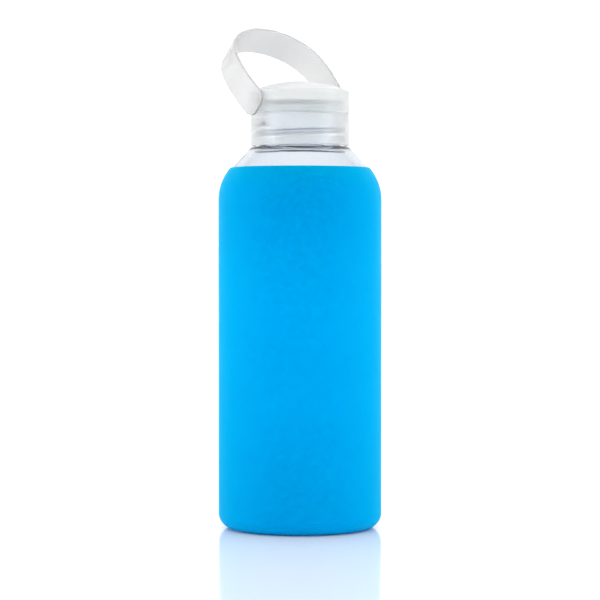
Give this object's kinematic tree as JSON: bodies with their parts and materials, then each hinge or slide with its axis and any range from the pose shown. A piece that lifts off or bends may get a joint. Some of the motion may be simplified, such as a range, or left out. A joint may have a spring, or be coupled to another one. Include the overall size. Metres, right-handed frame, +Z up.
{
  "type": "water bottle",
  "caption": "Round glass water bottle in a silicone sleeve, with a frosted screw cap, a swivelling domed cap top and a flat carry strap.",
  "frame": {"origin": "on the bottle's axis, in the plane it stands on", "axes": "+Z up along the bottle; +Y away from the viewer who sees the strap lean back to the left; +X to that viewer's right"},
  "size_m": [0.0734, 0.0744, 0.2266],
  "materials": {
    "clear_glass": "clear gloss",
    "blue_silicone": "satin silicone",
    "frosted_plastic": "frosted, translucent",
    "strap_plastic": "satin, translucent, flexible",
    "seal_silicone": "satin"
  },
  "bodies": {
    "bottle": {"glass_bottle": "clear_glass", "silicone_sleeve": "blue_silicone"},
    "seal": {"seal_liner": "seal_silicone"},
    "cap": {"screw_cap": "frosted_plastic"},
    "top": {"cap_top": "frosted_plastic"},
    "strap": {"carry_strap": "strap_plastic"}
  },
  "joints": [
    {"name": "cap_lift", "type": "slide", "parent": "bottle", "child": "seal", "axis": [0, 0, 1], "range_m": [0, 0.019]},
    {"name": "cap_turn", "type": "hinge", "parent": "seal", "child": "cap", "pos_m": [0, 0, 0.179], "axis": [0, 0, 1], "range_deg": [0, 1620]},
    {"name": "top_swivel", "type": "hinge", "parent": "cap", "child": "top", "pos_m": [0, 0, 0.1875], "axis": [0, 0, 1], "continuous": true},
    {"name": "strap_fold", "type": "hinge", "parent": "top", "child": "strap", "pos_m": [0, 0, 0.19115], "axis": [0.7934, 0.6088, 0], "range_deg": [-70, 160]}
  ],
  "couplings": [
    {"joint": "cap_lift", "follows": "cap_turn", "m_per_rad": 0.00066845}
  ]
}
